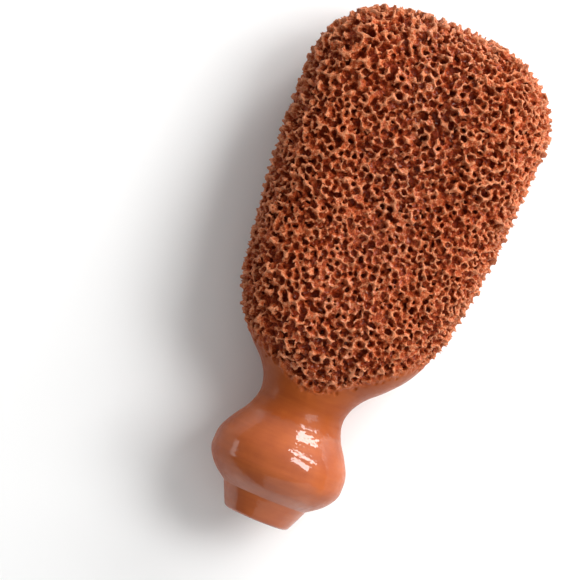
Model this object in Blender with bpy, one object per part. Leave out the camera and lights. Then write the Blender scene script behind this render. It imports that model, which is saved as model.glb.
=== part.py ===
"""A foot-scrubbing pumice stone of fired clay: a porous paddle head, a neck, a round knob and a small foot.

It lies on its back with the scrubbing face up. +Z is up, +Y runs along it from the foot to the head, and the
origin is under the middle of it. Stations are measured along it from the flat end of the foot. All in metres.
"""

import math
import random

import bmesh
import bpy
import numpy as np
from mathutils import Vector, kdtree, noise

LENGTH = 0.1431
HALF_WIDTH = 0.0338
AXIS_HEIGHT = 0.0187  # the knob's radius, so the knob and the head's back lie on one plane

# (station, half width) down each side of the head, from inside the neck to past the top
HEAD_SIDE = (
    (0.0300, 0.0060), (0.0340, 0.0085), (0.0370, 0.0110), (0.0401, 0.0145), (0.0444, 0.0193),
    (0.0500, 0.0240), (0.0565, 0.0272), (0.0630, 0.0293), (0.0750, 0.0315), (0.0880, 0.0329),
    (0.1030, 0.0336), (0.1200, 0.0336), (0.1500, 0.0320),
)
# (station, half thickness) of the head on its centre line
HEAD_THICKNESS = (
    (0.0300, 0.0070), (0.0340, 0.0104), (0.0370, 0.0134), (0.0400, 0.0158), (0.0440, 0.0176),
    (0.0500, 0.0185), (0.0580, 0.0187), (0.1500, 0.0187),
)
HEAD_START = 0.0335  # the head's flat lower end, hidden inside the neck
TOP_RADIUS = 0.088  # of the slightly bowed top edge
CORNER_RADIUS = 0.0165  # of the two top corners, seen from the front
RIM_WIDTH = 0.020  # the face starts to fall towards the rim this far inside the outline
RIM_POWER = 2.4  # 2 would round the rim as an ellipse; a higher power makes it squarer
BACK_FULLNESS = 0.0008  # the back would bulge this far below the plane that it is worn flat to
HEAD_CENTRE = 0.095  # the station of the head's middle, from which its skin is laid out

# (station, radius) of the turned handle, each stretch a smooth curve and each join a crease
FOOT_PROFILE = ((0.0, 0.0088), (0.0006, 0.0093), (0.0050, 0.0113), (0.0065, 0.0119))
KNOB_PROFILE = (
    (0.0065, 0.0119), (0.0095, 0.0158), (0.0132, 0.01835), (0.0169, 0.0187), (0.0201, 0.0181),
    (0.0240, 0.0160), (0.0280, 0.0134), (0.0320, 0.0121), (0.0360, 0.0123), (0.0400, 0.0131),
    (0.0440, 0.0138), (0.0500, 0.0138),
)
KNOB_RINGS = 18  # spread evenly along the knob's and the neck's curve
HANDLE_SIDES = 36
SHARP_ANGLE = math.radians(35)  # edges of the handle that turn more than this are creases
CURVE_STEPS = 10  # to each stretch of a profile

FACE_SPACING = 0.0034  # between pores on the face and the rim
BACK_SPACING = 0.0050  # between pores on the back
LEAST_SPACING = 0.82  # no two pores are scattered nearer than this share of their spacing
BACK_HEIGHT = 0.0045  # a pore lower than this is on the back
FACE_DEPTH = 0.0030
BACK_DEPTH = 0.0024
DEPTH_SPREAD = 0.35  # pores are up to this share deeper or shallower
RIDGE_ROUGHNESS = 0.0008  # how far the ridges between pores are worn down or stand proud
RIDGE_WAVE = 0.0031  # the length over which the ridges' height changes
RIDGE_WEAR = 0.2  # this much of the roughness is worn off everywhere
PORE_EDGE = 0.0370  # the station of the lowest pores, on the centre line
PORE_EDGE_SLOPE = 0.85  # towards the sides the pores stop this much higher for each metre across
PORE_EDGE_ROUND = 0.005  # the half width of the rounded bottom of that edge
PORE_FADE = 0.006  # the lowest pores grow from nothing to full depth over this length
LAND_RADIUS = 0.0036  # of each worn flat on the back that has no pores
LANDS = ((-0.015, 0.036), (0.014, 0.041), (0.001, 0.010), (-0.013, -0.004), (0.012, 0.018))  # (x, y)

MESH_DETAIL = 8  # icosphere subdivisions of the fine skin from which the pores are laid out
HALVINGS = 25  # in each search for the skin
NORMAL_STEP = 0.00001  # between points whose levels are compared to find a normal
SLOPE_STEP = 0.0005  # between stations whose widths are compared to find the side's slope
RELAXING_STEPS = 2
SEED = 11

CLAY_COLOUR = (0.46, 0.15, 0.062, 1.0)
CLAY_ROUGHNESS = 0.55


def clear_scene():
    for obj in list(bpy.data.objects):
        bpy.data.objects.remove(obj, do_unlink=True)


def clay_material():
    material = bpy.data.materials.new("fired_clay")
    material.use_nodes = True
    shader = material.node_tree.nodes["Principled BSDF"]
    shader.inputs["Base Color"].default_value = CLAY_COLOUR
    shader.inputs["Roughness"].default_value = CLAY_ROUGHNESS
    shader.inputs["Metallic"].default_value = 0.0
    return material


def smooth_curve(points, steps):
    """Points along a Catmull-Rom curve through the given ones, with `steps` to each stretch."""
    known = np.array([points[0], *points, points[-1]], float)
    t = np.linspace(0, 1, steps, endpoint=False)[:, None]
    stretches = []
    for a, b, c, d in zip(known, known[1:], known[2:], known[3:]):
        stretches.append(0.5 * (2 * b + (c - a) * t + (2 * a - 5 * b + 4 * c - d) * t**2
                                + (3 * b - 3 * c + d - a) * t**3))
    return np.vstack([*stretches, known[-1]])


SIDE_CURVE = smooth_curve(HEAD_SIDE, CURVE_STEPS)
THICKNESS_CURVE = smooth_curve(HEAD_THICKNESS, CURVE_STEPS)
HEAD_MIDDLE = np.array((0, HEAD_CENTRE - LENGTH / 2, AXIS_HEIGHT))


def inset(x, station):
    """How far inside the head's outline a point is, seen from the front."""
    width = np.interp(station, *SIDE_CURVE.T)
    slope = (np.interp(station + SLOPE_STEP, *SIDE_CURVE.T) - width) / SLOPE_STEP
    beside = (np.abs(x) - width) / np.sqrt(1 + slope**2)
    above = station - (LENGTH - x**2 / (2 * TOP_RADIUS))
    past_side = np.maximum(beside + CORNER_RADIUS, 0)
    past_top = np.maximum(above + CORNER_RADIUS, 0)
    rounded = np.hypot(past_side, past_top) - CORNER_RADIUS
    deep = np.minimum(np.maximum(beside, above) + CORNER_RADIUS, 0)
    return -(rounded + deep)


def head_level(points):
    """1 on the head's skin, less inside and more outside."""
    x, y, z = points.T
    station = y + LENGTH / 2
    across = np.maximum(1 - inset(x, station) / RIM_WIDTH, 0)
    half_thickness = np.interp(station, *THICKNESS_CURVE.T) + BACK_FULLNESS * (z < AXIS_HEIGHT)
    through = np.abs(z - AXIS_HEIGHT) / half_thickness
    pillow = (across**RIM_POWER + through**RIM_POWER) ** (1 / RIM_POWER)
    cuts = np.maximum(HEAD_START - station, -z) / RIM_WIDTH
    return np.maximum(pillow, 1 + cuts)


def onto_skin(directions):
    """The points where rays from the middle of the head leave it."""
    near = np.zeros(len(directions))
    far = np.full(len(directions), LENGTH)
    for _ in range(HALVINGS):
        half = (near + far) / 2
        inside = head_level(HEAD_MIDDLE + directions * half[:, None]) < 1
        near = np.where(inside, half, near)
        far = np.where(inside, far, half)
    return HEAD_MIDDLE + directions * near[:, None]


def toward(points):
    """Unit vectors from the middle of the head."""
    rays = points - HEAD_MIDDLE
    return rays / np.linalg.norm(rays, axis=1, keepdims=True)


def outward(points):
    """The skin's unit normals, from differences of its level."""
    steps = NORMAL_STEP * np.eye(3)
    slopes = np.stack([head_level(points + step) - head_level(points - step) for step in steps], axis=1)
    return slopes / np.linalg.norm(slopes, axis=1, keepdims=True)


def fine_skin():
    """A dense, even mesh of the head's skin: its points, and its triangles."""
    sphere = bmesh.new()
    bmesh.ops.create_icosphere(sphere, subdivisions=MESH_DETAIL, radius=1)
    sphere.verts.ensure_lookup_table()
    ball = np.array([vert.co for vert in sphere.verts], float)
    faces = np.array([[vert.index for vert in face.verts] for face in sphere.faces])
    sphere.free()
    stretched = ball * (HALF_WIDTH, LENGTH - HEAD_CENTRE, AXIS_HEIGHT)
    return onto_skin(stretched / np.linalg.norm(stretched, axis=1, keepdims=True)), faces


def spacing_at(points):
    """The distance that pores keep here: finer on the face and rim, coarser on the back."""
    back = np.clip(2 - points[:, 2] / BACK_HEIGHT, 0, 1)
    return FACE_SPACING + (BACK_SPACING - FACE_SPACING) * back


def scatter(skin, chance):
    """Points of the skin in random order, each kept if no kept one is too near."""
    spacing = spacing_at(skin)
    order = list(range(len(skin)))
    chance.shuffle(order)
    kept = np.empty_like(skin)
    count = 0
    for index in order:
        gaps = np.linalg.norm(kept[:count] - skin[index], axis=1)
        if count == 0 or gaps.min() > LEAST_SPACING * spacing[index]:
            kept[count] = skin[index]
            count += 1
    return kept[:count]


def nearest(points, seeds):
    """The number of the nearest seed to each point."""
    tree = kdtree.KDTree(len(seeds))
    for number, seed in enumerate(seeds):
        tree.insert(seed, number)
    tree.balance()
    return np.array([tree.find(point)[1] for point in points])


def pore_middles(skin, chance):
    """Pore positions, scattered and then evened out a little by moving each to the middle of its own cell."""
    seeds = scatter(skin, chance)
    for _ in range(RELAXING_STEPS):
        cell = nearest(skin, seeds)
        sizes = np.bincount(cell, minlength=len(seeds))[:, None]
        sums = np.stack([np.bincount(cell, column, len(seeds)) for column in skin.T], axis=1)
        seeds = onto_skin(toward(sums / sizes))
    return seeds


def bumpiness(points, size):
    """Smooth random values from about -1 to 1, with swells of the given size."""
    return np.array([noise.noise(Vector(point) / size) for point in points])


def pore_depths(middles, chance):
    """Each pore's depth, and the share of it that is left near the neck and on the back's worn flats."""
    station = middles[:, 1] + LENGTH / 2
    edge = PORE_EDGE + PORE_EDGE_SLOPE * (np.hypot(middles[:, 0], PORE_EDGE_ROUND) - PORE_EDGE_ROUND)
    fade = np.clip((station - edge) / PORE_FADE, 0, 1)
    on_back = middles[:, 2] < BACK_HEIGHT
    depth = np.where(on_back, BACK_DEPTH, FACE_DEPTH)
    spread = np.array([1 + chance.uniform(-DEPTH_SPREAD, DEPTH_SPREAD) for _ in middles])
    for x, y in LANDS:
        near_land = np.hypot(middles[:, 0] - x, middles[:, 1] - y) < LAND_RADIUS
        fade = np.where(on_back & near_land, 0, fade)
    return depth * spread * fade, fade


def trim(points):
    """Keeps the head's ridges inside its full size, with its back flat on the ground."""
    low = np.array([-HALF_WIDTH, -LENGTH / 2, 0])
    high = np.array([HALF_WIDTH, LENGTH / 2, 2 * AXIS_HEIGHT])
    return np.clip(points, low, high)


def pore_cells(chance):
    """Pore middles, the points where three cells meet, those three cells, and the point after each side."""
    skin, faces = fine_skin()
    while True:
        middles = pore_middles(skin, chance)
        corners = nearest(skin, middles)[faces]
        meets = (corners != np.roll(corners, 1, axis=1)).all(axis=1)
        corners = corners[meets]
        sides = {}
        for number, (a, b, c) in enumerate(corners.tolist()):
            sides.update({(a, b): number, (b, c): number, (c, a): number})
        if len(sides) == 3 * len(corners) == 6 * (len(middles) - 2):  # no two cells meet twice
            return middles, skin[faces[meets]].mean(axis=1), corners, sides


def head_mesh():
    """The head's skin: one cell to each pore, sunk to a point in its middle, with ridges between cells."""
    chance = random.Random(SEED)
    middles, ridges, corners, sides = pore_cells(chance)
    depths, fade = pore_depths(middles, chance)
    rough = RIDGE_ROUGHNESS * fade[corners].min(axis=1) * (bumpiness(ridges, RIDGE_WAVE) - RIDGE_WEAR)
    ridges = trim(ridges + outward(ridges) * rough[:, None])
    pits = trim(middles) - outward(middles) * depths[:, None]
    first = len(pits)
    triangles = [(a, first + number, first + sides[a, b]) for (b, a), number in sides.items()]
    return np.vstack([pits, ridges]), triangles


def turned(rings):
    """Points and faces of a closed shape turned about the long axis, from its (station, radius) rings."""
    angles = np.linspace(0, 2 * math.pi, HANDLE_SIDES, endpoint=False)
    points = [(radius * math.cos(angle), station - LENGTH / 2, AXIS_HEIGHT + radius * math.sin(angle))
              for station, radius in rings for angle in angles]
    faces = [tuple(range(HANDLE_SIDES))]
    for ring in range(len(rings) - 1):
        start = ring * HANDLE_SIDES
        for side in range(HANDLE_SIDES):
            after = (side + 1) % HANDLE_SIDES
            above = start + HANDLE_SIDES
            faces.append((start + side, above + side, above + after, start + after))
    last = (len(rings) - 1) * HANDLE_SIDES
    faces.append(tuple(reversed(range(last, last + HANDLE_SIDES))))
    return points, faces


def handle_mesh():
    """The foot, the knob and the neck, whose upper end is buried in the head."""
    knob = smooth_curve(KNOB_PROFILE, CURVE_STEPS)
    lengths = np.concatenate([[0], np.cumsum(np.linalg.norm(np.diff(knob, axis=0), axis=1))])
    places = np.linspace(0, lengths[-1], KNOB_RINGS)
    radii = np.minimum(np.interp(places, lengths, knob[:, 1]), AXIS_HEIGHT)
    return turned([*FOOT_PROFILE[:-1], *zip(np.interp(places, lengths, knob[:, 0]), radii)])


def add_object(name, points, faces, material):
    mesh = bpy.data.meshes.new(name)
    mesh.from_pydata([tuple(point) for point in points], [], faces)
    mesh.materials.append(material)
    mesh.validate()
    shape = bmesh.new()
    shape.from_mesh(mesh)
    bmesh.ops.recalc_face_normals(shape, faces=shape.faces)
    shape.to_mesh(mesh)
    shape.free()
    obj = bpy.data.objects.new(name, mesh)
    bpy.context.scene.collection.objects.link(obj)
    return obj


def join(whole, other):
    """Makes both shapes one solid; the second object stays as a hidden helper."""
    union = whole.modifiers.new("join_" + other.name, "BOOLEAN")
    union.operation = "UNION"
    union.solver = "EXACT"
    union.object = other
    other.hide_render = True
    other.display_type = "WIRE"


def build():
    clear_scene()
    clay = clay_material()
    stone = add_object("pumice_stone", *head_mesh(), clay)
    handle = add_object("handle", *handle_mesh(), clay)
    handle.data.shade_smooth()
    handle.data.set_sharp_from_angle(angle=SHARP_ANGLE)
    join(stone, handle)


build()
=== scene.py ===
"""The dressed foot-scrubbing stone of fired clay: an open-pored head, with a smooth neck, knob and foot.

The porous head is a field on a fine grid: the CAD model's own envelope, less several layers of bubbles.
All in metres, in the CAD model's frame. Stations run along the stone from the flat end of its foot.
"""

import math

import bpy
import numpy as np
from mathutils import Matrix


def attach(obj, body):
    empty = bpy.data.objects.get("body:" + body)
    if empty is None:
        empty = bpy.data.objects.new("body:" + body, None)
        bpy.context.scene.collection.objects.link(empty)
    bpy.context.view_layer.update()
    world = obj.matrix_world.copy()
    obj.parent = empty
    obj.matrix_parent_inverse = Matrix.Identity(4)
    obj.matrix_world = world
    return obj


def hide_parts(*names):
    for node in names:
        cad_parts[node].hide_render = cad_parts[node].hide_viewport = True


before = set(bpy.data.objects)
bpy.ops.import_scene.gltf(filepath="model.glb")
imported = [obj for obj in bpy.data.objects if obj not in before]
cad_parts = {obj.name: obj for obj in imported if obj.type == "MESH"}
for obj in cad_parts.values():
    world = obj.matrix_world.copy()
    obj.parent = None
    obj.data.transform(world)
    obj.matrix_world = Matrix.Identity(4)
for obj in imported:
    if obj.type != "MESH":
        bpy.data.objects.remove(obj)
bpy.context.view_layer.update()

import openvdb
from mathutils import Matrix, Vector, kdtree

MM = 0.001

# The CAD model's own sizes. A curve's rows are station and half width, half thickness or radius.
LENGTH = 0.1431
AXIS_HEIGHT = 0.0187
HEAD_SIDE = (
    (0.0300, 0.0060), (0.0340, 0.0085), (0.0370, 0.0110), (0.0401, 0.0145), (0.0444, 0.0193),
    (0.0500, 0.0240), (0.0565, 0.0272), (0.0630, 0.0293), (0.0750, 0.0315), (0.0880, 0.0329),
    (0.1030, 0.0336), (0.1200, 0.0336), (0.1500, 0.0320),
)
HEAD_THICKNESS = (
    (0.0300, 0.0070), (0.0340, 0.0104), (0.0370, 0.0134), (0.0400, 0.0158), (0.0440, 0.0176),
    (0.0500, 0.0185), (0.0580, 0.0187), (0.1500, 0.0187),
)
TOP_RADIUS = 0.088
CORNER_RADIUS = 0.0165
RIM_WIDTH = 0.020
RIM_POWER = 2.4
BACK_FULLNESS = 0.0008
FOOT_PROFILE = ((0.0, 0.0088), (0.0006, 0.0093), (0.0050, 0.0113), (0.0065, 0.0119))
KNOB_PROFILE = (
    (0.0065, 0.0119), (0.0095, 0.0158), (0.0132, 0.01835), (0.0169, 0.0187), (0.0201, 0.0181),
    (0.0240, 0.0160), (0.0280, 0.0134), (0.0320, 0.0121), (0.0360, 0.0123), (0.0400, 0.0131),
    (0.0440, 0.0138), (0.0500, 0.0138),
)
SWELLS = (  # where the outline stands out or in: x, y, how far
    (-0.030, 0.061, 0.0012), (0.031, 0.058, 0.0012), (0.0, 0.0735, 0.0003), (-0.034, 0.004, -0.0009),
)
SWELL_RADIUS = 0.0105
LANDS = ((-0.015, 0.036), (0.014, 0.041), (0.001, 0.010), (-0.013, -0.004), (0.012, 0.018))  # on the back
LAND_RADIUS = 0.0036

SLOPE_STEP = 0.0005
CURVE_STEPS = 10
STEEPEST = 15  # the least slope of the head's level, where it is flat inside
NECK_END = 0.047  # station where the neck has run out inside the head
NECK_BLEND = 3.5 * MM
BACK_BLEND = 0.5 * MM

# The grid.
VOXEL = 0.00023
GRID_LOW = np.array((-0.0354, 0.0245 - LENGTH / 2, -0.0010))
GRID_HIGH = np.array((0.0354, 0.0012 + LENGTH / 2, 0.0390))
FAR = 0.01

# Where the pores end at the neck: a station that rises with the distance from the middle.
PORE_START = 0.0365
PORE_SLOPE_LEFT = 0.52
PORE_SLOPE_RIGHT = 0.80
PORE_START_ROUND = 0.005
PORE_FADE = 0.0035

# The pores on the skin. Spacings and depths are in millimetres, or shares of the distance to the next pores.
SPACING = 1.60
BACK_SPACING = 2.2
BACK_TOP = 3 * MM
SPACING_SWELL, SPACING_SWELL_SIZE = 0.16, 6 * MM
COARSE_STATIONS = (0.045, 0.055, 0.070, 0.090, 0.108, 0.143)
COARSENESS = (1.14, 1.10, 0.97, 0.99, 1.06, 1.10)
COARSE_LEAN, COARSE_LEAN_WIDTH = 0.05, 0.03  # coarser on the left
FLATS, SMALLER_ON_FLATS = ((0.005, -0.003, 0.014), (0.028, 0.050, 0.009)), 0.12  # x, y, radius
PORE_RADIUS = (0.41, 0.59)
RADIUS_SWELL, RADIUS_SWELL_SIZE = 0.15, 4.5 * MM
PORE_DEPTH, FADED_RISE = (0.08, 0.30), 0.7
STRETCH = 0.45
SKIPPED, SKIPPED_ON_FLATS = 0.05, 0.09
PORE_SEED, SPACING_SEED, RADIUS_SEED = 7, 3, 4

# How open a place has to be, from 0 at the neck to 1, for each kind of pore.
PORE_FROM, RIM_FROM, WELL_FROM, DEEP_FROM, SMALL_FROM = 0.02, 0.3, 0.7, 0.9, 0.6

# The even pores round the rim.
RIM_CENTRE, RIM_TURNS, RIM_REACH = (0.0, 0.020), 1441, (0.005, 0.075, 700)  # rays that find the outline
RIM_SPACING = 0.00236
RIM_ROWS = (-0.0044, -0.0022, 0.0, 0.0022, 0.0044)  # heights over the axis
RIM_WANDER = 0.09  # along the rim, as a share of the spacing
RIM_STAGGER, RIM_LIFT, RIM_JITTER = 1.1, 0.35, 0.2
RIM_RADIUS = (0.88, 1.08)
RIM_DEPTH = 0.5 * MM
RIM_STRETCH = 0.5  # as a share of the other pores'

# The wells in the pores, the layer of bubbles under them and the small bubbles in the ridges.
WELL_SHARE = 0.95
WELL_DEPTH, WELL_ASIDE, WELL_RADIUS, WELL_STRETCH = 0.78, 0.20, (0.84, 1.0), 0.2
DEEP_SPACING, DEEP_LAYER, DEEP_RADIUS, DEEP_STRETCH = 2.3, (-2.8, -1.4), (0.6, 0.95), (0.85, 1.2)
DEEP_LOWEST, DEEP_TRIED = 4 * MM, 0.3
SMALL_SPACING, SMALL_DEPTH, SMALL_RADIUS, SMALL_STRETCH = 1.15, (-0.2, 0.7), (0.22, 0.48), 0.35
SMALL_LOWEST, SMALL_TRIED = 2 * MM, 0.5
SMALL_INSET = 1.2 * MM
OPEN_SPACE = 1.5 * MM  # the bubbles' field where there are none
STAMP_MARGIN, SMALL_MARGIN = 0.8 * MM, 0.6 * MM
SEED_REACH = 2.0 * MM

# The ridges, and the noise on them: seed, swell and height in millimetres.
RIDGE_START, RIDGE_WIDTH = 0.88 * MM, 0.75 * MM
RIDGE_HEIGHT, RIDGE_HEIGHT_ON_RIM, RIDGE_SINK = 1.05, 0.38, 0.38
RIDGE_ROUND = 0.03 * MM
RIM_BAND = 2.5 * MM
RIM_CALM = 0.88  # how much less noise there is on the rim
ROUGH_NOISE = ((21, 0.80, 0.55), (22, 0.46, 0.70))
UNEVEN_NOISE = ((23, 2.0, 0.7), (24, 0.9, 0.9))

MOST_TRIANGLES = 900000
PIECE_TRIANGLES = 190000
CLOSED_BLUR, EDGE_BLUR = 3, 1  # cells
HEAD_CUT = 0.0250  # station where the porous piece takes over from the turned handle

# The turned handle. Rings are station and radius.
SIDES = 160
FOOT_END = ((0.0, 0.004), (0.0, 0.0078), (0.00003, 0.0084), (0.00016, 0.0088), (0.0004, 0.0091))
FOOT_STEPS, KNOB_RINGS = 12, 90
KNOB_STOP = 0.0002  # how far before the cut its last open ring is
TUCKED_RINGS = ((0.0003, 0.00003), (0.0023, 0.0002))  # how far past the cut, and under the head's skin
SHARP_ANGLE = math.radians(50)

# The clay's colours in sRGB from 0 to 255, and where they stand on their ramps.
# The clay's colour, with painted highlight on the ridges' tips and painted shade down in the pores.
POROUS_PAINTED_SHADE_COLOURS = (  # from the ridges' tips to the pores' bottoms
    (0.0, (210, 132, 92)), (0.22, (193, 102, 59)), (0.42, (182, 83, 41)), (0.66, (166, 66, 26)),
    (1.0, (134, 43, 13)),
)
SMOOTH_COLOURS = ((0.55, (151, 68, 23)), (0.9, (170, 83, 31)))
BROAD_SHADES = ((0.3, 0.84), (0.7, 1.0))
ROUGHNESSES = ((0.3, 0.30), (0.7, 0.50))

# Its noises: scale to a metre, detail and, for those that swing about zero, how far in all.
WANDER_NOISE, CLUMP_NOISE = (1200.0, 2.0, 2.0), (230.0, 1.0, 3.6)
SPECKLE_NOISE, BROAD_NOISE, MOTTLE_NOISE = (2300.0, 1.0), (60.0, 3.0), (110.0, 4.0)
TURNED_NOISE, TURNED_STRETCH = (700.0, 3.0), (0.12, 1.0, 0.12)
ROUGHNESS_NOISE, DRYING_NOISE, GRAIN_NOISE = (700.0, 3.0), (900.0, 1.0), (1400.0, 4.0, 0.65)
FILM_NOISES = ((200.0, 0.0), (1300.0, 0.0))

# How much each thing counts towards the dark end of the porous colours, which is painted shade in the pores;
# thin crests count little and get painted highlight.
DEPTH_COUNT, CLOSED_COUNT, EDGE_COUNT, SPECKLE_COUNT, COUNT_START = 0.16, 1.05, 0.60, 1.9, -1.36
TURNED_COUNT = 0.45

# Fades along the stone or across it: from, to, and the number at each.
# Painted shade: the smooth clay's colour darkens to 0.8 on the neck, next to the head.
NECK_PAINTED_SHADE = (-0.0460, -0.0390, 1.0, 0.80)
NECK_DRYING, DRYING_WANDER = (-0.0423, -0.0417, 0.52, 0.05), 0.0028
LEFT_DRYING, RIGHT_DRYING = (-0.016, -0.006, 0.18, 1.0), (0.0098, 0.0130, 1.0, 0.45)
POROUS_COAT = 0.10
COAT_ROUGHNESS, COAT_IOR, SPECULAR = 0.045, 1.9, 0.12
GRAIN_HEIGHT, FILM_HEIGHT, FILM_STRENGTH = 0.00075, 0.00006, 0.6

# The photograph's view, and the lights in its frame: right, up and near.
VIEW_TURN = math.radians(22.5)
VIEW_CENTRE = (-0.0149, -0.0111)
VIEW_WIDTH = 0.1531
VIEW_DISTANCE = 0.8
LIGHTS = (  # name, where to, along which way its long side lies, distance, size, power
    ("main_softbox", (0.717, 0.683, 0.19), (0.61, -0.39, -0.74), 0.9, (0.60, 0.29), 6.6),
    ("strip_light_1", (0.747, 0.416, 0.517), (0.66, -0.545, -0.517), 0.7, (0.6, 0.09), 2.12),
    ("strip_light_2", (0.637, 0.071, 0.768), (0.6, -0.686, -0.41), 0.7, (0.42, 0.22), 3.19),
    ("left_fill", (-0.966, 0.24, 0.12), (0, 1, 0), 0.9, (0.5, 0.2), 1.0),
    ("low_fill", (0.2, -0.9, 0.35), (1, 0, 0), 1.2, (2.0, 1.0), 3.0),
)
WORLD_WAY, WORLD_STRENGTH = (0.9, 0.3, 0.0), (0.15, 0.82)  # the way to its bright side, and from dark to bright
FLOOR_HALF, FLOOR_COLOUR, FLOOR_ROUGHNESS = 1.5, (0.93, 0.93, 0.925, 1), 0.9


def smooth_curve(points, steps):
    """Points along a Catmull-Rom curve through the given ones, with `steps` to each stretch."""
    known = np.array([points[0], *points, points[-1]], float)
    t = np.linspace(0, 1, steps, endpoint=False)[:, None]
    stretches = []
    for a, b, c, d in zip(known, known[1:], known[2:], known[3:]):
        stretches.append(0.5 * (2 * b + (c - a) * t + (2 * a - 5 * b + 4 * c - d) * t**2
                                + (3 * b - 3 * c + d - a) * t**3))
    return np.vstack([*stretches, known[-1]])


SIDE_CURVE = smooth_curve(HEAD_SIDE, CURVE_STEPS)
THICKNESS_CURVE = smooth_curve(HEAD_THICKNESS, CURVE_STEPS)
KNOB_CURVE = smooth_curve(KNOB_PROFILE, CURVE_STEPS)
AXES = [np.arange(low, high, VOXEL).astype(np.float32) for low, high in zip(GRID_LOW, GRID_HIGH)]
SHAPE = tuple(len(axis) for axis in AXES)


def inset(x, station):
    """How far inside the head's outline a point is, seen from the front."""
    width = np.interp(station, *SIDE_CURVE.T)
    slope = (np.interp(station + SLOPE_STEP, *SIDE_CURVE.T) - width) / SLOPE_STEP
    beside = (np.abs(x) - width) / np.sqrt(1 + slope**2)
    above = station - (LENGTH - x**2 / (2 * TOP_RADIUS))
    past_side = np.maximum(beside + CORNER_RADIUS, 0)
    past_top = np.maximum(above + CORNER_RADIUS, 0)
    rounded = np.hypot(past_side, past_top) - CORNER_RADIUS
    deep = np.minimum(np.maximum(beside, above) + CORNER_RADIUS, 0)
    return -(rounded + deep)


def head_field():
    """The signed distance to the head's unpitted skin, negative inside."""
    x, y, z = AXES
    station = y + LENGTH / 2
    across = np.maximum(1 - inset(x[:, None], station[None, :]) / RIM_WIDTH, 0)
    half = np.interp(station, *THICKNESS_CURVE.T)[:, None] + BACK_FULLNESS * (z < AXIS_HEIGHT)
    through = np.abs(z - AXIS_HEIGHT) / half
    level = ((across**RIM_POWER)[:, :, None] + (through**RIM_POWER)[None]) ** (1 / RIM_POWER)
    level = level.astype(np.float32)
    steep = np.sqrt(sum(slope**2 for slope in np.gradient(level, VOXEL)))
    swell = sum(far * np.exp(-((x[:, None] - a)**2 + (y[None, :] - b)**2) / (2 * SWELL_RADIUS**2))
                for a, b, far in SWELLS)
    beside = np.maximum(1 - ((z - AXIS_HEIGHT) / AXIS_HEIGHT)**2, 0)
    return (level - 1) / np.maximum(steep, STEEPEST) - (swell[:, :, None] * beside).astype(np.float32)


def handle_field():
    """The signed distance to the turned neck, negative inside."""
    x, y, z = AXES
    station = y + LENGTH / 2
    radius = np.minimum(np.interp(station, *KNOB_CURVE.T), AXIS_HEIGHT)
    slope = np.gradient(radius, VOXEL)
    out = np.hypot(x[:, None], z[None, :] - AXIS_HEIGHT)
    field = (out[:, None, :] - radius[None, :, None]) / np.sqrt(1 + slope**2)[None, :, None]
    return np.where(station[None, :, None] > NECK_END, np.float32(FAR), field.astype(np.float32))


def smooth_least(a, b, width):
    """The lesser of two fields, rounded where they meet."""
    near = np.maximum(width - np.abs(a - b), 0) / width
    return np.minimum(a, b) - near**2 * width / 4


def smooth_most(a, b, width):
    return -smooth_least(-a, -b, width)


def envelope_field(floor):
    """The head and the neck in one, without pores, cut flat at the back."""
    return smooth_most(smooth_least(head_field(), handle_field(), NECK_BLEND), floor, BACK_BLEND)


def spline_weights(count, swell, cells):
    """How much of each coarse value goes into each of an axis's grid points."""
    place = np.arange(count) * VOXEL / swell
    cell = place.astype(int)
    t = place - cell
    weights = np.stack([(1 - t)**3, 3 * t**3 - 6 * t**2 + 4, -3 * t**3 + 3 * t**2 + 3 * t + 1, t**3], 1) / 6
    matrix = np.zeros((count, cells), np.float32)
    matrix[np.arange(count)[:, None], cell[:, None] + np.arange(4)] = weights
    return matrix


def lattice_noise(swell, seed):
    """Smooth random values on the grid, with swells of the given size: a B-spline over a coarse lattice."""
    cells = [int(count * VOXEL / swell) + 4 for count in SHAPE]
    values = np.random.default_rng(seed).uniform(-1, 1, cells).astype(np.float32)
    along_x, along_y, along_z = (spline_weights(*sizes) for sizes in zip(SHAPE, [swell] * 3, cells))
    values = values @ along_z.T
    values = (along_x @ values.reshape(cells[0], -1)).reshape(SHAPE[0], cells[1], SHAPE[2])
    return np.matmul(along_y, values)


def layered_noise(layers):
    return sum(height * MM * lattice_noise(swell * MM, seed) for seed, swell, height in layers)


def swell_noise(points, size, seed):
    """Smooth random values at points."""
    rng = np.random.default_rng(seed)
    total = 0
    for _ in range(6):
        way = rng.normal(size=3)
        way /= np.linalg.norm(way)
        turns = points @ way * (2 * math.pi / size) * rng.uniform(0.7, 1.4)
        total = total + np.sin(turns + rng.uniform(0, 6.28))
    return total / 6 * 1.6


def sample(field, points):
    """The field's values at points, by linear interpolation."""
    place = (points - GRID_LOW) / VOXEL
    place = np.clip(place, 0, np.array(SHAPE) - 1.001)
    cell = place.astype(int)
    t = place - cell
    total = 0
    for corner in range(8):
        offset = np.array((corner >> 2 & 1, corner >> 1 & 1, corner & 1))
        weight = np.prod(np.where(offset, t, 1 - t), axis=1)
        i, j, k = (cell + offset).T
        total = total + weight * field[i, j, k]
    return total


def gradient_at(field, points):
    """The field's direction of steepest rise at points."""
    steps = np.eye(3) * VOXEL * 0.6
    ways = [sample(field, points + step) - sample(field, points - step) for step in steps]
    out = np.stack(ways, axis=1)
    return out / np.maximum(np.linalg.norm(out, axis=1, keepdims=True), 1e-12)


def skin_voxels(field, low, high):
    """Grid points whose distance to the skin lies between two values."""
    found = np.argwhere((field > low) & (field < high))
    return GRID_LOW + found * VOXEL


def pore_edge(x):
    """The station where the pores end, to the right or left of the middle."""
    slope = np.where(x < 0, PORE_SLOPE_LEFT, PORE_SLOPE_RIGHT)
    return PORE_START + slope * (np.hypot(x, PORE_START_ROUND) - PORE_START_ROUND)


def pore_fade(points):
    """From 0 on the smooth neck to 1 in the porous head."""
    station = points[:, 1] + LENGTH / 2
    return np.clip((station - pore_edge(points[:, 0])) / PORE_FADE, 0, 1)


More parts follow.
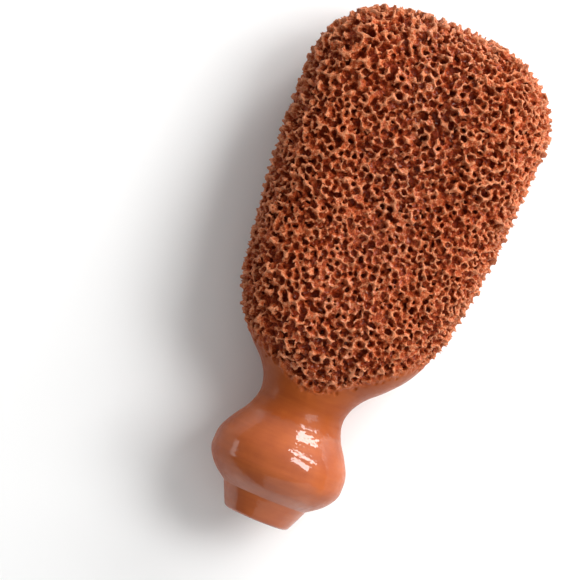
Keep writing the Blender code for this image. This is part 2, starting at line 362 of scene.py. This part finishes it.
def grid_fade():
    """The same for the grid."""
    x, y, _ = AXES
    station = y + LENGTH / 2
    fade = np.clip((station[None, :] - pore_edge(x)[:, None]) / PORE_FADE, 0, 1)
    return fade[:, :, None].astype(np.float32)


def flatness(points):
    """Where the openings are small, with smooth flats between them."""
    return sum(np.exp(-((points[:, 0] - x)**2 + (points[:, 1] - y)**2) / (2 * radius**2))
               for x, y, radius in FLATS)


def coarseness(points):
    """How much wider apart the pores are than on average, along the head."""
    along = np.interp(points[:, 1] + LENGTH / 2, COARSE_STATIONS, COARSENESS)
    return along * (1 - COARSE_LEAN * np.clip(points[:, 0] / COARSE_LEAN_WIDTH, -1, 1))


def is_free(point, limit, grid, cell):
    """Whether no kept point in the cells around is nearer than the square root of the limit."""
    x, y, z = point
    i, j, k = cell
    for a in (i - 1, i, i + 1):
        for b in (j - 1, j, j + 1):
            for c in (k - 1, k, k + 1):
                for u, v, w in grid.get((a, b, c), ()):
                    if (u - x)**2 + (v - y)**2 + (w - z)**2 < limit:
                        return False
    return True


def scatter(points, spacing, chance, first=0):
    """Points in random order, each kept if no kept one is nearer than its spacing. The first are all kept."""
    order = np.concatenate([np.arange(first), first + chance.permutation(len(points) - first)])
    cells = np.floor((points - GRID_LOW) / float(spacing.max())).astype(int)
    rows = points.tolist()
    cell_rows = [tuple(row) for row in cells.tolist()]
    limits = (spacing**2).tolist()
    limits[:first] = [0.0] * first
    kept, grid = [], {}
    for index in order.tolist():
        if is_free(rows[index], limits[index], grid, cell_rows[index]):
            kept.append(index)
            grid.setdefault(cell_rows[index], []).append(rows[index])
    return np.array(kept)


def neighbour_distance(points, count):
    """The mean distance from each point to its nearest few others."""
    tree = kdtree.KDTree(len(points))
    for number, point in enumerate(points):
        tree.insert(point, number)
    tree.balance()
    return np.array([sum(found[2] for found in tree.find_n(point, count + 1)) / count for point in points])


def random_turns(count, chance):
    """Random rotation matrices."""
    q = chance.normal(size=(count, 4))
    w, x, y, z = (q / np.linalg.norm(q, axis=1, keepdims=True)).T
    return np.stack([
        np.stack([1 - 2 * (y * y + z * z), 2 * (x * y - z * w), 2 * (x * z + y * w)], 1),
        np.stack([2 * (x * y + z * w), 1 - 2 * (x * x + z * z), 2 * (y * z - x * w)], 1),
        np.stack([2 * (x * z - y * w), 2 * (y * z + x * w), 1 - 2 * (x * x + y * y)], 1),
    ], 1)


def window(centre, reach):
    """The grid's slices round a point, and the offsets from it along each axis."""
    low = np.maximum(np.ceil((centre - reach - GRID_LOW) / VOXEL).astype(int), 0)
    high = np.minimum(np.floor((centre + reach - GRID_LOW) / VOXEL).astype(int) + 1, SHAPE)
    if (low >= high).any():
        return None, None
    place = tuple(slice(a, b) for a, b in zip(low, high))
    return place, [AXES[axis][place[axis]] - np.float32(centre[axis]) for axis in range(3)]


def stamp_bubbles(field, centres, radii, stretches, chance, margin):
    """Lowers the field to the distance from each bubble's wall, negative inside."""
    turns = random_turns(len(centres), chance)
    for centre, radius, stretch, turn in zip(centres, radii, stretches, turns):
        place, offsets = window(centre, radius * stretch.max() + margin)
        if place is None:
            continue
        form = turn @ np.diag(1 / stretch**2) @ turn.T
        dx, dy, dz = offsets
        flat = (form[0, 0] * dx**2)[:, None] + (form[1, 1] * dy**2)[None]
        flat = flat + 2 * form[0, 1] * dx[:, None] * dy[None]
        tilt = 2 * (form[0, 2] * dx[:, None] + form[1, 2] * dy[None])
        square = flat[:, :, None] + (form[2, 2] * dz**2)[None, None] + tilt[:, :, None] * dz[None, None]
        view = field[place]
        np.minimum(view, np.sqrt(np.maximum(square, 0)).astype(np.float32) - np.float32(radius), out=view)


def distance_from(centres, reach):
    """The grid's distance from the nearest centre, up to a reach."""
    field = np.full(SHAPE, reach, np.float32)
    for centre in centres:
        place, offsets = window(centre, reach)
        if place is None:
            continue
        dx, dy, dz = offsets
        square = (dx**2)[:, None, None] + (dy**2)[None, :, None] + (dz**2)[None, None]
        view = field[place]
        np.minimum(view, np.sqrt(square), out=view)
    return field


def rim_edge(envelope):
    """Points round the head's outline, and how far along it each lies."""
    turn = np.linspace(0, 2 * math.pi, RIM_TURNS)
    out = np.linspace(*RIM_REACH)
    x, y = RIM_CENTRE[0] + np.cos(turn)[:, None] * out, RIM_CENTRE[1] + np.sin(turn)[:, None] * out
    rays = np.stack([x, y, np.full(x.shape, AXIS_HEIGHT)], 2)
    inside = sample(envelope, rays.reshape(-1, 3)).reshape(len(turn), -1) < 0
    reach = out[np.argmin(inside, axis=1)]
    edge = np.stack([RIM_CENTRE[0] + np.cos(turn) * reach, RIM_CENTRE[1] + np.sin(turn) * reach], 1)
    along = np.concatenate([[0], np.cumsum(np.linalg.norm(np.diff(edge, axis=0), axis=1))])
    return edge, along


def rim_seeds(envelope, chance):
    """Points in even columns round the head's rim, so that the ridges between them show as teeth.

    Every second column is half a row higher, as in a honeycomb.
    """
    edge, along = rim_edge(envelope)
    count = int(along[-1] / RIM_SPACING)
    places = (np.arange(count) + chance.uniform(-RIM_WANDER, RIM_WANDER, count)) * along[-1] / count
    x, y = np.interp(places, along, edge[:, 0]), np.interp(places, along, edge[:, 1])
    rows = np.array(RIM_ROWS)
    lift = (np.arange(count) % 2 - 0.5) * RIM_STAGGER * MM + chance.uniform(-RIM_LIFT, RIM_LIFT, count) * MM
    height = AXIS_HEIGHT + (rows + lift[:, None]).ravel()
    points = np.stack([np.repeat(x, len(rows)), np.repeat(y, len(rows)), height], 1)
    points = points + chance.uniform(-RIM_JITTER, RIM_JITTER, points.shape) * MM
    for _ in range(3):
        points = points - gradient_at(envelope, points) * sample(envelope, points)[:, None]
    return points[pore_fade(points) > RIM_FROM]


def skin_points(envelope, chance):
    """The skin's points where a pore may be, and how many of them are the rim's own, which come first."""
    near = skin_voxels(envelope, -0.5 * VOXEL, 0.5 * VOXEL)
    near = near[pore_fade(near) > 0]
    near = near + chance.uniform(-0.5, 0.5, near.shape) * VOXEL
    out = gradient_at(envelope, near)
    near = near - out * sample(envelope, near)[:, None]
    teeth = rim_seeds(envelope, chance)
    return np.vstack([teeth, near]), np.vstack([gradient_at(envelope, teeth), out]), len(teeth)


def pore_seeds(near, rim_count, chance):
    """Which of the skin's points are pores."""
    spacing = np.where(near[:, 2] < BACK_TOP, BACK_SPACING, SPACING) * MM
    spacing = spacing * (1 + SPACING_SWELL * swell_noise(near, SPACING_SWELL_SIZE, SPACING_SEED))
    return scatter(near, spacing * coarseness(near), chance, rim_count)


def openness(seeds):
    """From 0, where there is no pore, to 1. Pores fade out at the neck and leave the back's lands free."""
    fade = pore_fade(seeds)
    for x, y in LANDS:
        on_land = (seeds[:, 2] < BACK_TOP) & (np.hypot(seeds[:, 0] - x, seeds[:, 1] - y) < LAND_RADIUS)
        fade = np.where(on_land, 0, fade)
    return fade


def pore_sizes(seeds, on_rim, fade, chance):
    """Each pore's radius, depth and whether it is there at all."""
    flat = flatness(seeds)
    skip = (chance.random(len(seeds)) < SKIPPED + SKIPPED_ON_FLATS * flat) & ~on_rim
    apart = neighbour_distance(seeds, 4)
    radius = apart * chance.uniform(*PORE_RADIUS, len(seeds)) * (0.6 + 0.4 * fade)
    radius = radius * (1 - SMALLER_ON_FLATS * flat)
    radius *= 1 + RADIUS_SWELL * swell_noise(seeds, RADIUS_SWELL_SIZE, RADIUS_SEED)
    radius = np.where(on_rim, chance.uniform(*RIM_RADIUS, len(seeds)) * MM * (0.6 + 0.4 * fade), radius)
    raised = (1 - fade) * FADED_RISE * radius
    depth = apart * chance.uniform(*PORE_DEPTH, len(seeds)) * fade - raised
    depth = np.where(on_rim, RIM_DEPTH * fade - raised, depth)
    return radius, depth, ~skip & (fade > PORE_FROM)


def press_pores(bubbles, seeds, out, on_rim, chance):
    """Stamps the pores on the skin, with a well in the bottom of nearly each."""
    fade = openness(seeds)
    radius, depth, live = pore_sizes(seeds, on_rim, fade, chance)
    centres = seeds - out * depth[:, None]
    share = np.where(on_rim, RIM_STRETCH, 1)[:, None]
    stretch = np.exp(chance.uniform(-STRETCH, STRETCH, (len(seeds), 3)) * share)
    stamp_bubbles(bubbles, centres[live], radius[live], stretch[live], chance, STAMP_MARGIN)
    well = live & (fade > WELL_FROM) & (chance.random(len(seeds)) < WELL_SHARE) & ~on_rim
    aside = chance.normal(size=centres.shape) * (WELL_ASIDE * radius)[:, None]
    wells = centres - out * (WELL_DEPTH * radius)[:, None] + aside
    stretch = np.exp(chance.uniform(-WELL_STRETCH, WELL_STRETCH, (len(seeds), 3)))
    radius = radius * chance.uniform(*WELL_RADIUS, len(seeds))
    stamp_bubbles(bubbles, wells[well], radius[well], stretch[well], chance, STAMP_MARGIN)


def press_deep_bubbles(bubbles, envelope, chance):
    """Stamps the layer of bubbles that the pores open into."""
    low, high = DEEP_LAYER
    deep = skin_voxels(envelope, low * MM, high * MM)
    deep = deep[(pore_fade(deep) > DEEP_FROM) & (deep[:, 2] > DEEP_LOWEST)]
    deep = deep[chance.random(len(deep)) < DEEP_TRIED]
    deep = deep[scatter(deep, np.full(len(deep), DEEP_SPACING * MM), chance)]
    radius = chance.uniform(*DEEP_RADIUS, len(deep)) * MM
    stretch = chance.uniform(*DEEP_STRETCH, (len(deep), 3))
    stamp_bubbles(bubbles, deep, radius, stretch, chance, STAMP_MARGIN)


def press_small_bubbles(bubbles, envelope, near, chance):
    """Stamps small bubbles into the ridges of the face."""
    small = near[(chance.random(len(near)) < SMALL_TRIED) & (near[:, 2] > SMALL_LOWEST)]
    small = small[scatter(small, np.full(len(small), SMALL_SPACING * MM), chance)]
    small = small - gradient_at(envelope, small) * chance.uniform(*SMALL_DEPTH, (len(small), 1)) * MM
    off_rim = inset(small[:, 0], small[:, 1] + LENGTH / 2) > SMALL_INSET
    small = small[(pore_fade(small) > SMALL_FROM) & (small[:, 2] > SMALL_LOWEST) & off_rim]
    stretch = np.exp(chance.uniform(-SMALL_STRETCH, SMALL_STRETCH, (len(small), 3)))
    radius = chance.uniform(*SMALL_RADIUS, len(small)) * MM
    stamp_bubbles(bubbles, small, radius, stretch, chance, SMALL_MARGIN)


def pressed_solid(envelope, bubbles, seeds, floor):
    """The envelope with its ridges raised and roughened, less the bubbles."""
    x, y, _ = AXES
    rim = np.clip(1 - inset(x[:, None], y[None, :] + LENGTH / 2) / RIM_BAND, 0, 1)
    rim = rim[:, :, None].astype(np.float32)
    porous = grid_fade()
    calm = porous * (1 - RIM_CALM * rim)
    rise = np.clip((distance_from(seeds, SEED_REACH) - RIDGE_START) / RIDGE_WIDTH, 0, 1)
    peaks = (RIDGE_HEIGHT + RIDGE_HEIGHT_ON_RIM * rim) * MM * (rise - RIDGE_SINK) * porous
    skin = envelope - peaks + layered_noise(UNEVEN_NOISE) * calm
    solid = smooth_most(skin, -(bubbles + layered_noise(ROUGH_NOISE) * calm), RIDGE_ROUND)
    return np.maximum(solid, floor)


def build_fields():
    """The envelope and the finished solid, as signed distances on the grid."""
    chance = np.random.default_rng(PORE_SEED)
    floor = -AXES[2][None, None, :]
    envelope = envelope_field(floor)
    near, out, rim_count = skin_points(envelope, chance)
    kept = pore_seeds(near, rim_count, chance)
    bubbles = np.full(SHAPE, OPEN_SPACE, np.float32)
    press_pores(bubbles, near[kept], out[kept], kept < rim_count, chance)
    press_deep_bubbles(bubbles, envelope, chance)
    press_small_bubbles(bubbles, envelope, near, chance)
    return envelope, pressed_solid(envelope, bubbles, near[kept], floor)


def blurred(field, cells):
    """The field's mean over a cube of so many cells each way, twice."""
    size = 2 * cells + 1
    for axis in range(3):
        for _ in range(2):
            padded = np.pad(field, [(cells + 1, cells) if a == axis else (0, 0) for a in range(3)], "edge")
            total = np.moveaxis(np.cumsum(padded, axis=axis, dtype=np.float64), axis, 0)
            field = np.moveaxis(((total[size:] - total[:-size]) / size).astype(np.float32), 0, axis)
    return field


def polygons(solid):
    """The solid's surface as points and triangles."""
    grid = openvdb.FloatGrid(background=float(VOXEL * 4))
    grid.copyFromArray(np.ascontiguousarray(solid))
    points, triangles, quads = grid.convertToPolygons(isovalue=0.0, adaptivity=0.0)
    faces = np.vstack([quads[:, [0, 1, 2]], quads[:, [0, 2, 3]], triangles]).astype(np.int64)
    return points.astype(np.float64) * VOXEL + GRID_LOW, faces


def largest_piece(points, faces):
    """The faces of the mesh's largest connected piece."""
    label = np.arange(len(points))
    edges = np.vstack([faces[:, [0, 1]], faces[:, [1, 2]]])
    while True:
        low = np.minimum(label[edges[:, 0]], label[edges[:, 1]])
        new = label.copy()
        np.minimum.at(new, label[edges[:, 0]], low)
        np.minimum.at(new, label[edges[:, 1]], low)
        new = new[new]
        new = new[new]
        if (new == label).all():
            break
        label = new
    biggest = np.bincount(label[faces[:, 0]]).argmax()
    return faces[label[faces[:, 0]] == biggest]


def compact(points, faces):
    """The points that the faces use, and the faces with their new numbers."""
    used, index = np.unique(faces, return_inverse=True)
    return used, points[used], index.reshape(-1, 3)


def make_mesh(name, points, faces):
    mesh = bpy.data.meshes.new(name)
    mesh.vertices.add(len(points))
    mesh.vertices.foreach_set("co", points.astype(np.float32).ravel())
    mesh.loops.add(faces.size)
    mesh.loops.foreach_set("vertex_index", faces.astype(np.int32).ravel())
    mesh.polygons.add(len(faces))
    mesh.polygons.foreach_set("loop_start", np.arange(0, faces.size, 3, dtype=np.int32))
    mesh.update(calc_edges=True)
    return mesh


def read_mesh(mesh):
    mesh.calc_loop_triangles()
    points = np.empty(len(mesh.vertices) * 3, np.float32)
    mesh.vertices.foreach_get("co", points)
    faces = np.empty(len(mesh.loop_triangles) * 3, np.int32)
    mesh.loop_triangles.foreach_get("vertices", faces)
    return points.reshape(-1, 3).astype(float), faces.reshape(-1, 3).astype(np.int64)


def thinned(points, faces, most):
    """The mesh with at most so many triangles."""
    if len(faces) <= most:
        return points, faces
    mesh = make_mesh("thin", points, faces)
    obj = bpy.data.objects.new("thin", mesh)
    bpy.context.scene.collection.objects.link(obj)
    obj.modifiers.new("thin", "DECIMATE").ratio = most / len(faces)
    graph = bpy.context.evaluated_depsgraph_get()
    result = bpy.data.meshes.new_from_object(obj.evaluated_get(graph), depsgraph=graph)
    read = read_mesh(result)
    bpy.data.objects.remove(obj, do_unlink=True)
    bpy.data.meshes.remove(mesh)
    bpy.data.meshes.remove(result)
    return read


def head_mesh(solid):
    """The head's surface from where the turned handle ends."""
    points, faces = polygons(solid)
    faces = largest_piece(points, faces)
    middle = points[faces].mean(axis=1)[:, 1] + LENGTH / 2
    _, points, faces = compact(points, faces[middle > HEAD_CUT])
    return thinned(points, faces, MOST_TRIANGLES)


def shade_smooth(mesh):
    mesh.polygons.foreach_set("use_smooth", np.ones(len(mesh.polygons), bool))


def add_piece(name, mesh, material):
    mesh.materials.append(material)
    obj = bpy.data.objects.new(name, mesh)
    bpy.context.scene.collection.objects.link(obj)
    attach(obj, "root")
    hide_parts("pumice_stone")


def material_values(envelope, solid, points):
    """What the material reads: depth in millimetres and how much clay is around, from which it paints shade in
    the pores and highlight on the ridges' tips, and where the head is porous.
    """
    fill = (solid < 0).astype(np.float32)
    return {
        "depth": -sample(envelope, points) / MM,
        "closed": sample(blurred(fill, CLOSED_BLUR), points),
        "edge": sample(blurred(fill, EDGE_BLUR), points),
        "porous": pore_fade(points),
    }


def head_pieces(material):
    """The head's one surface, in slices small enough for a piece."""
    envelope, solid = build_fields()
    points, faces = head_mesh(solid)
    values = material_values(envelope, solid, points)
    normals = gradient_at(solid, points)
    order = np.argsort(points[faces].mean(axis=1)[:, 1])
    for number, part in enumerate(np.array_split(order, math.ceil(len(faces) / PIECE_TRIANGLES)), 1):
        used, part_points, part_faces = compact(points, faces[part])
        mesh = make_mesh(f"porous_head_{number}", part_points, part_faces)
        for name, value in values.items():
            layer = mesh.attributes.new(name, "FLOAT", "POINT")
            layer.data.foreach_set("value", value[used].astype(np.float32))
        shade_smooth(mesh)
        mesh.normals_split_custom_set_from_vertices(normals[used].astype(np.float32))
        add_piece(f"porous_head_{number}", mesh, material)


def handle_profile():
    """The handle's rings from the foot's flat end to just under the head's skin."""
    stations, radii = KNOB_CURVE.T
    lengths = np.concatenate([[0], np.cumsum(np.linalg.norm(np.diff(KNOB_CURVE, axis=0), axis=1))])
    places = np.linspace(0, np.interp(HEAD_CUT - KNOB_STOP, stations, lengths), KNOB_RINGS)
    knob_radii = np.minimum(np.interp(places, lengths, radii), AXIS_HEIGHT)
    knob = np.stack([np.interp(places, lengths, stations), knob_radii], 1)
    foot = smooth_curve(FOOT_PROFILE[1:], FOOT_STEPS)[:-1]
    tucked = [(HEAD_CUT + past, np.interp(HEAD_CUT + past, stations, radii) - under)
              for past, under in TUCKED_RINGS]
    return np.vstack([FOOT_END, foot, knob, tucked])


def handle_piece(material):
    """The knob and its foot, turned round the axis."""
    station, radius = handle_profile().T
    angles = np.linspace(0, 2 * math.pi, SIDES, endpoint=False)
    x = radius[:, None] * np.cos(angles)
    z = AXIS_HEIGHT + radius[:, None] * np.sin(angles)
    y = np.broadcast_to((station - LENGTH / 2)[:, None], x.shape)
    points = np.vstack([[(0, -LENGTH / 2, AXIS_HEIGHT)], np.stack([x, y, z], 2).reshape(-1, 3)])
    sides = [(side, (side + 1) % SIDES) for side in range(SIDES)]
    faces = [(0, 1 + a, 1 + b) for a, b in sides]
    for start in range(1, 1 + (len(station) - 1) * SIDES, SIDES):
        faces += [(start + a, start + SIDES + a, start + SIDES + b, start + b) for a, b in sides]
    mesh = bpy.data.meshes.new("knob_and_foot")
    mesh.from_pydata(points.tolist(), [], faces)
    shade_smooth(mesh)
    mesh.set_sharp_from_angle(angle=SHARP_ANGLE)
    add_piece("knob_and_foot", mesh, material)


def linear(r, g, b):
    """An sRGB colour from 0 to 255, as Blender's linear one."""
    return tuple(((c / 255 + 0.055) / 1.055)**2.4 if c > 10 else c / 255 / 12.92 for c in (r, g, b))


class Nodes:
    """Adds nodes to a material and links them. A value is a number, a colour or another node's output."""

    def __init__(self, name):
        self.material = bpy.data.materials.new(name)
        self.material.use_nodes = True
        self.tree = self.material.node_tree
        self.shader = self.tree.nodes["Principled BSDF"]

    def add(self, kind, sockets=None, **settings):
        node = self.tree.nodes.new(kind)
        for key, value in settings.items():
            setattr(node, key, value)
        for key, value in (sockets or {}).items():
            if isinstance(value, bpy.types.NodeSocket):
                self.tree.links.new(value, node.inputs[key])
            else:
                node.inputs[key].default_value = value
        return node

    def link(self, output, key):
        self.tree.links.new(output, self.shader.inputs[key])

    def ramp(self, value, stops):
        """A colour ramp. A stop is its place, and an sRGB colour or a grey."""
        node = self.add("ShaderNodeValToRGB", {"Fac": value})
        ramp = node.color_ramp
        while len(ramp.elements) < len(stops):
            ramp.elements.new(0.5)
        for element, (place, colour) in zip(ramp.elements, stops):
            element.position = place
            element.color = (*(linear(*colour) if isinstance(colour, tuple) else [colour] * 3), 1.0)
        return node.outputs["Color"]

    def math(self, operation, a, b=0.0, c=0.0):
        return self.add("ShaderNodeMath", {0: a, 1: b, 2: c}, operation=operation).outputs[0]

    def mix(self, factor, a, b, blend="MIX"):
        node = self.add("ShaderNodeMix", {0: factor, 6: a, 7: b}, data_type="RGBA", blend_type=blend)
        return node.outputs[2]

    def noise(self, place, scale, detail=3.0, roughness=0.5):
        sockets = {"Vector": place, "Scale": scale, "Detail": detail, "Roughness": roughness}
        return self.add("ShaderNodeTexNoise", sockets).outputs["Fac"]

    def swing(self, place, scale, detail, height):
        """Noise about zero."""
        return self.math("MULTIPLY_ADD", self.noise(place, scale, detail), height, -height / 2)

    def attribute(self, name):
        return self.add("ShaderNodeAttribute", attribute_name=name).outputs["Fac"]

    def fade(self, value, low, high, at_low, at_high):
        """From one number to another, as the value goes from low to high."""
        sockets = {"Value": value, "From Min": low, "From Max": high, "To Min": at_low, "To Max": at_high}
        return self.add("ShaderNodeMapRange", sockets).outputs["Result"]

    def bump(self, height, distance, strength):
        sockets = {"Height": height, "Distance": distance, "Strength": strength}
        return self.add("ShaderNodeBump", sockets).outputs["Normal"]


def porous_colour_with_painted_shade(nodes, place):
    """Painted highlight on the ridges' tips and painted shade in the pores, by how deep and how closed in a
    point is.
    """
    depth = nodes.math("ADD", nodes.attribute("depth"), nodes.swing(place, *WANDER_NOISE))
    depth = nodes.math("ADD", depth, nodes.swing(place, *CLUMP_NOISE))
    edge = nodes.math("MULTIPLY_ADD", nodes.attribute("edge"), EDGE_COUNT, COUNT_START)
    filled = nodes.math("MULTIPLY_ADD", nodes.attribute("closed"), CLOSED_COUNT, edge)
    filled = nodes.math("MULTIPLY_ADD", nodes.noise(place, *SPECKLE_NOISE), SPECKLE_COUNT, filled)
    # The ramp paints highlight on the ridges' tips and shade down in the pores.
    colour = nodes.ramp(nodes.math("MULTIPLY_ADD", depth, DEPTH_COUNT, filled), POROUS_PAINTED_SHADE_COLOURS)
    return nodes.mix(1.0, colour, nodes.ramp(nodes.noise(place, *BROAD_NOISE), BROAD_SHADES), "MULTIPLY")


def smooth_colour(nodes, place, y):
    """The handle's mottle, with faint marks round it from turning, darkened by painted shade on the neck next
    to the head.
    """
    turned = nodes.add("ShaderNodeVectorMath", {0: place, 1: TURNED_STRETCH}, operation="MULTIPLY").outputs[0]
    mottle = nodes.noise(place, *MOTTLE_NOISE)
    mottle = nodes.math("MULTIPLY_ADD", nodes.noise(turned, *TURNED_NOISE), TURNED_COUNT, mottle)
    # Painted shade: darker on the neck next to the head.
    return nodes.mix(1.0, nodes.ramp(mottle, SMOOTH_COLOURS), nodes.fade(y, *NECK_PAINTED_SHADE), "MULTIPLY")


def coat_weight(nodes, place, x, y, porous):
    """How wet the clay is: most on the knob's front, and hardly at all on the neck."""
    drying = nodes.math("MULTIPLY_ADD", nodes.noise(place, *DRYING_NOISE), DRYING_WANDER, y)
    wet = nodes.math("MULTIPLY_ADD", porous, POROUS_COAT, nodes.fade(drying, *NECK_DRYING))
    side = nodes.math("MULTIPLY", nodes.fade(x, *LEFT_DRYING), nodes.fade(x, *RIGHT_DRYING))
    return nodes.math("MULTIPLY", wet, side)


def wet_clay():
    """One material for the whole stone: porous on the head, smooth and glossy on the handle."""
    nodes = Nodes("wet_fired_clay")
    place = nodes.add("ShaderNodeNewGeometry").outputs["Position"]
    split = nodes.add("ShaderNodeSeparateXYZ", {0: place})
    x, y = split.outputs["X"], split.outputs["Y"]
    porous = nodes.attribute("porous")
    nodes.link(nodes.mix(porous, smooth_colour(nodes, place, y), porous_colour_with_painted_shade(nodes, place)), "Base Color")
    nodes.link(nodes.ramp(nodes.noise(place, *ROUGHNESS_NOISE), ROUGHNESSES), "Roughness")
    nodes.shader.inputs["Specular IOR Level"].default_value = SPECULAR
    nodes.link(nodes.bump(nodes.noise(place, *GRAIN_NOISE), GRAIN_HEIGHT, porous), "Normal")
    nodes.link(coat_weight(nodes, place, x, y, porous), "Coat Weight")
    nodes.shader.inputs["Coat Roughness"].default_value = COAT_ROUGHNESS
    nodes.shader.inputs["Coat IOR"].default_value = COAT_IOR
    film = nodes.math("ADD", *(nodes.noise(place, *noise) for noise in FILM_NOISES))
    nodes.link(nodes.bump(film, FILM_HEIGHT, FILM_STRENGTH), "Coat Normal")
    return nodes.material


def camera():
    """Looks straight down on the face, from over the middle of the photograph."""
    data = bpy.data.cameras.new("camera")
    data.lens = data.sensor_width * VIEW_DISTANCE / VIEW_WIDTH
    data.clip_start = 0.01
    obj = bpy.data.objects.new("camera", data)
    obj.location = (*VIEW_CENTRE, 2 * AXIS_HEIGHT + VIEW_DISTANCE)
    obj.rotation_euler = (0, 0, VIEW_TURN)
    bpy.context.scene.collection.objects.link(obj)
    bpy.context.scene.camera = obj


def in_world(right, up, near):
    """A direction given in the photograph's frame, in the world's."""
    c, s = math.cos(VIEW_TURN), math.sin(VIEW_TURN)
    return (right * c - up * s, right * s + up * c, near)


def light(name, way, along, distance, size, power):
    """A softbox that faces the stone."""
    data = bpy.data.lights.new(name, "AREA")
    data.shape = "RECTANGLE"
    data.size, data.size_y = size
    data.energy = power
    obj = bpy.data.objects.new(name, data)
    out = Vector(in_world(*way)).normalized()
    side = Vector(in_world(*along))
    side = (side - out * side.dot(out)).normalized()
    turn = Matrix((side, out.cross(side), out)).transposed()
    obj.matrix_world = Matrix.Translation(Vector((0, 0, AXIS_HEIGHT)) + out * distance) @ turn.to_4x4()
    bpy.context.scene.collection.objects.link(obj)


def pale_floor():
    half = FLOOR_HALF
    mesh = bpy.data.meshes.new("floor")
    corners = [(-half, -half, 0), (half, -half, 0), (half, half, 0), (-half, half, 0)]
    mesh.from_pydata(corners, [], [(0, 1, 2, 3)])
    nodes = Nodes("pale_floor")
    nodes.shader.inputs["Base Color"].default_value = FLOOR_COLOUR
    nodes.shader.inputs["Roughness"].default_value = FLOOR_ROUGHNESS
    mesh.materials.append(nodes.material)
    floor = bpy.data.objects.new("floor", mesh)
    bpy.context.scene.collection.objects.link(floor)


def soft_world():
    """White light from all round, stronger from one side."""
    world = bpy.data.worlds.new("world")
    world.use_nodes = True
    tree = world.node_tree
    background = tree.nodes["Background"]
    background.inputs["Color"].default_value = (1, 1, 1, 1)
    dot = tree.nodes.new("ShaderNodeVectorMath")
    dot.operation = "DOT_PRODUCT"
    dot.inputs[1].default_value = in_world(*WORLD_WAY)
    tree.links.new(tree.nodes.new("ShaderNodeTexCoord").outputs["Generated"], dot.inputs[0])
    level = tree.nodes.new("ShaderNodeMapRange")
    level.inputs["From Min"].default_value = -1
    level.inputs["To Min"].default_value, level.inputs["To Max"].default_value = WORLD_STRENGTH
    tree.links.new(dot.outputs["Value"], level.inputs["Value"])
    tree.links.new(level.outputs["Result"], background.inputs["Strength"])
    bpy.context.scene.world = world
    bpy.context.scene.view_settings.view_transform = "Standard"


camera()
pale_floor()
soft_world()
for row in LIGHTS:
    light(*row)
clay = wet_clay()
head_pieces(clay)
handle_piece(clay)
